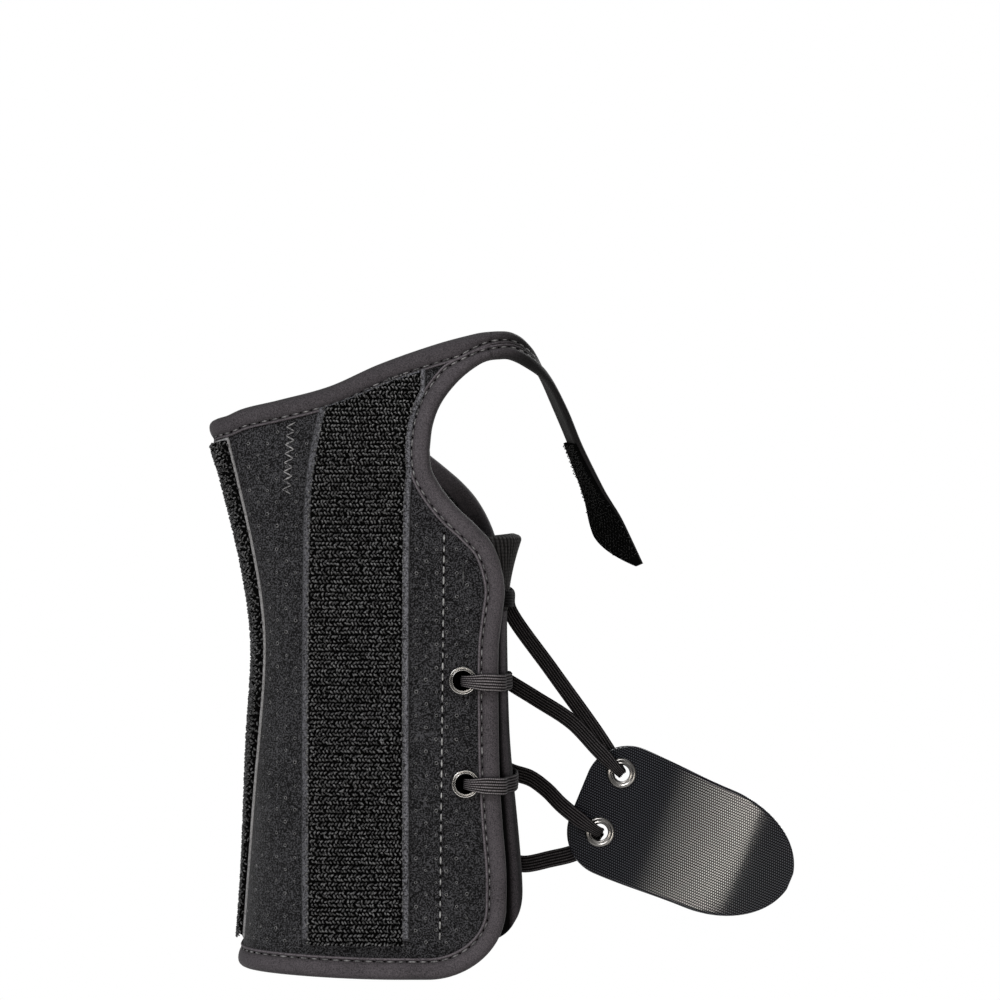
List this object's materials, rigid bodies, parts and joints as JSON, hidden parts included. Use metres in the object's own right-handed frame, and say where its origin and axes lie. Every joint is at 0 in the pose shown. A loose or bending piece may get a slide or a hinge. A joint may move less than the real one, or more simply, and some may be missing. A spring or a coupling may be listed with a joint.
{
  "type": "wrist brace",
  "caption": "Right-hand lace-up wrist brace: bound suede-cloth wrap with a thumb cut-out, loop strips, web strap, tongue and a flat lace through eyelets to a pull tab.",
  "frame": {"origin": "on the axis of the hollow, at the wrist, where the wearer's wrist is", "axes": "+X to the thumb side, +Y to the back of the hand, +Z along the forearm to the fingers"},
  "size_m": [0.1916, 0.07, 0.2062],
  "materials": {
    "suede_cloth": "perforated napped cloth",
    "binding": "smooth stretch tape",
    "loop_pile": "knitted loop pile",
    "hook_pile": "fine hook pile",
    "knit": "ribbed knit",
    "braid": "flat ribbed braid",
    "webbing": "fine plain weave, stiff, slightly glossy",
    "nickel": "dark nickel plate"
  },
  "bodies": {
    "root": {"wrap": "suede_cloth", "top_binding": "binding", "edge_binding": "binding", "stay_pocket": "binding", "palm_loop": "loop_pile", "ulnar_backing": "binding", "ulnar_loop": "loop_pile", "tongue": "binding", "tongue_cuff": "knit", "web_strap": "binding", "strap_hook": "hook_pile", "pull_tab": "webbing", "palm_eyelet_1": "nickel", "palm_eyelet_2": "nickel", "back_eyelet_1": "nickel", "back_eyelet_2": "nickel", "back_eyelet_3": "nickel", "back_eyelet_4": "nickel", "tab_eyelet_1": "nickel", "tab_eyelet_2": "nickel", "lace_crossing_1": "braid", "lace_crossing_2": "braid", "lace_crossing_3": "braid", "lace_strand_1": "braid", "lace_strand_2": "braid", "lace_strand_3": "braid", "lace_strand_4": "braid"}
  },
  "joints": []
}
